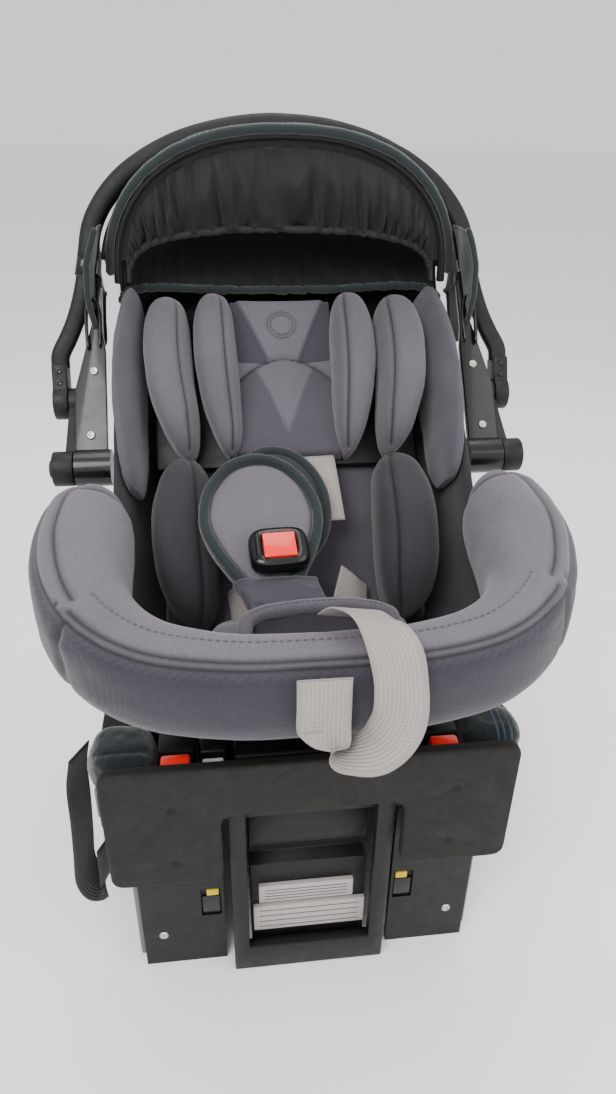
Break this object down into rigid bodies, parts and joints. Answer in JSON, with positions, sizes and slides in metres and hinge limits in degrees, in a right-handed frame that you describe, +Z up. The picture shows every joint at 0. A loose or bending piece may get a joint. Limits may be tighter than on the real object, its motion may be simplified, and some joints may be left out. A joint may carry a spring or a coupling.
{
  "type": "infant car seat",
  "caption": "Rear-facing infant carrier with padded bumper, headrest, buckle, folding canopy and hinged handle, docked on a car base with a tension panel.",
  "frame": {"origin": "floor level on the centre plane, at the middle of the foot face of the base's nose", "axes": "+X to the left of a seated baby, +Y towards the head end, +Z up"},
  "size_m": [0.4508, 0.5863, 0.7826],
  "materials": {
    "base_plastic": "moulded polypropylene, fine spark-eroded texture",
    "gloss_plastic": "polished black ABS",
    "panel_rubber": "soft thermoplastic rubber, dull",
    "side_plastic": "moulded grey polypropylene",
    "red_button": "glossy red ABS",
    "steel": "zinc-plated steel",
    "seat_fabric": "woven melange polyester over foam",
    "dark_fabric": "dark woven polyester over foam",
    "canopy_fabric": "black woven polyester",
    "grip_cover": "smooth soft-touch cover on the grip",
    "webbing": "silver-grey polyester webbing",
    "dark_webbing": "black polyester webbing",
    "felt": "blue-black felt cover with a striped tape"
  },
  "bodies": {
    "base": {"base_housing": "base_plastic", "base_nose": "base_plastic", "base_deck": "base_plastic", "side_cover_left": "side_plastic", "side_cover_right": "side_plastic", "connector_left": "base_plastic", "connector_right": "base_plastic", "connector_cover_left": "felt", "connector_cover_right": "felt", "connector_strap": "dark_webbing"},
    "knob": {"tension_knob": "base_plastic", "tension_shaft": "steel"},
    "press_frame": {"tension_frame": "base_plastic", "press_panel": "panel_rubber"},
    "turntable": {"dock_turntable": "gloss_plastic"},
    "carrier": {"shell": "gloss_plastic", "dock_socket": "base_plastic", "side_rail_left": "gloss_plastic", "side_rail_right": "gloss_plastic", "hub_pin_left": "steel", "hub_pin_right": "steel", "canopy_rear": "canopy_fabric", "seat_back_pad": "seat_fabric", "seat_bottom_pad": "seat_fabric", "head_wing_left": "seat_fabric", "head_wing_right": "seat_fabric", "hip_bolster_left": "dark_fabric", "hip_bolster_right": "dark_fabric", "bumper_cover": "seat_fabric", "front_flap": "seat_fabric", "adjuster_housing": "base_plastic", "adjuster_strap": "webbing", "belly_pad": "seat_fabric", "buckle_housing": "base_plastic", "buckle_sleeve": "dark_fabric", "shoulder_strap_left": "webbing", "shoulder_strap_right": "webbing"},
    "headrest": {"headrest_board": "base_plastic", "headrest_panel": "seat_fabric", "inner_bolster_left": "seat_fabric", "inner_bolster_right": "seat_fabric", "outer_bolster_left": "seat_fabric", "outer_bolster_right": "seat_fabric"},
    "handle_links": {"handle_link_left": "base_plastic", "handle_link_right": "base_plastic"},
    "handle_bail": {"knuckle_left": "base_plastic", "knuckle_right": "base_plastic", "handle_arm_left": "base_plastic", "handle_arm_right": "base_plastic", "handle_grip": "grip_cover"},
    "handle_button_l": {"handle_button_left": "base_plastic"},
    "handle_button_r": {"handle_button_right": "base_plastic"},
    "canopy_hood": {"canopy_front": "canopy_fabric", "canopy_front_bow": "base_plastic"},
    "canopy_bow": {"canopy_middle_bow": "base_plastic"},
    "harness_button": {"buckle_button": "red_button"},
    "anchor_button_l": {"connector_button_left": "red_button"},
    "anchor_button_r": {"connector_button_right": "red_button"},
    "dock_lever": {"release_lever": "red_button"}
  },
  "joints": [
    {"name": "knob_turn", "type": "hinge", "parent": "base", "child": "knob", "pos_m": [0, 0.3762, 0.105], "axis": [0, 1, 0], "range_deg": [0, 1080]},
    {"name": "frame_tip", "type": "hinge", "parent": "base", "child": "press_frame", "pos_m": [0, -0.0364, 0.0075], "axis": [1, 0, 0], "range_deg": [0, 10]},
    {"name": "dock_turn", "type": "hinge", "parent": "base", "child": "turntable", "pos_m": [0, 0.135, 0.2756], "axis": [0, 0, 1], "range_deg": [-90, 90]},
    {"name": "carrier_lift", "type": "slide", "parent": "turntable", "child": "carrier", "axis": [0, 0, 1], "range_m": [0, 0.25]},
    {"name": "headrest_slide", "type": "slide", "parent": "carrier", "child": "headrest", "axis": [0, 0.6947, 0.7193], "range_m": [0, 0.04]},
    {"name": "link_turn", "type": "hinge", "parent": "carrier", "child": "handle_links", "pos_m": [0, 0.14, 0.4934], "axis": [1, 0, 0], "range_deg": [0, 15]},
    {"name": "handle_turn", "type": "hinge", "parent": "handle_links", "child": "handle_bail", "pos_m": [0, 0.207, 0.5344], "axis": [1, 0, 0], "range_deg": [0, 75]},
    {"name": "handle_button_press_left", "type": "slide", "parent": "handle_links", "child": "handle_button_l", "axis": [-1, 0, 0], "range_m": [0, 0.0025], "stiffness_N_per_m": 300},
    {"name": "handle_button_press_right", "type": "slide", "parent": "handle_links", "child": "handle_button_r", "axis": [1, 0, 0], "range_m": [0, 0.0025], "stiffness_N_per_m": 300},
    {"name": "canopy_fold", "type": "hinge", "parent": "carrier", "child": "canopy_hood", "pos_m": [0, 0.25, 0.6384], "axis": [1, 0, 0], "range_deg": [-48, 0]},
    {"name": "canopy_bow_turn", "type": "hinge", "parent": "carrier", "child": "canopy_bow", "pos_m": [0, 0.25, 0.6384], "axis": [1, 0, 0], "range_deg": [-24, 0]},
    {"name": "harness_button_press", "type": "slide", "parent": "carrier", "child": "harness_button", "axis": [-0.0296, 0.4846, -0.8742], "range_m": [0, 0.003], "stiffness_N_per_m": 400},
    {"name": "anchor_button_press_left", "type": "slide", "parent": "base", "child": "anchor_button_l", "axis": [0, 1, 0], "range_m": [0, 0.003], "stiffness_N_per_m": 400},
    {"name": "anchor_button_press_right", "type": "slide", "parent": "base", "child": "anchor_button_r", "axis": [0, 1, 0], "range_m": [0, 0.003], "stiffness_N_per_m": 400},
    {"name": "dock_lever_pull", "type": "hinge", "parent": "carrier", "child": "dock_lever", "pos_m": [0, 0.235, 0.2969], "axis": [1, 0, 0], "range_deg": [0, 8], "stiffness_Nm_per_rad": 0.5}
  ],
  "couplings": [
    {"joint": "frame_tip", "follows": "knob_turn", "ratio": 0.0092593},
    {"joint": "canopy_bow_turn", "follows": "canopy_fold", "ratio": 0.5}
  ]
}
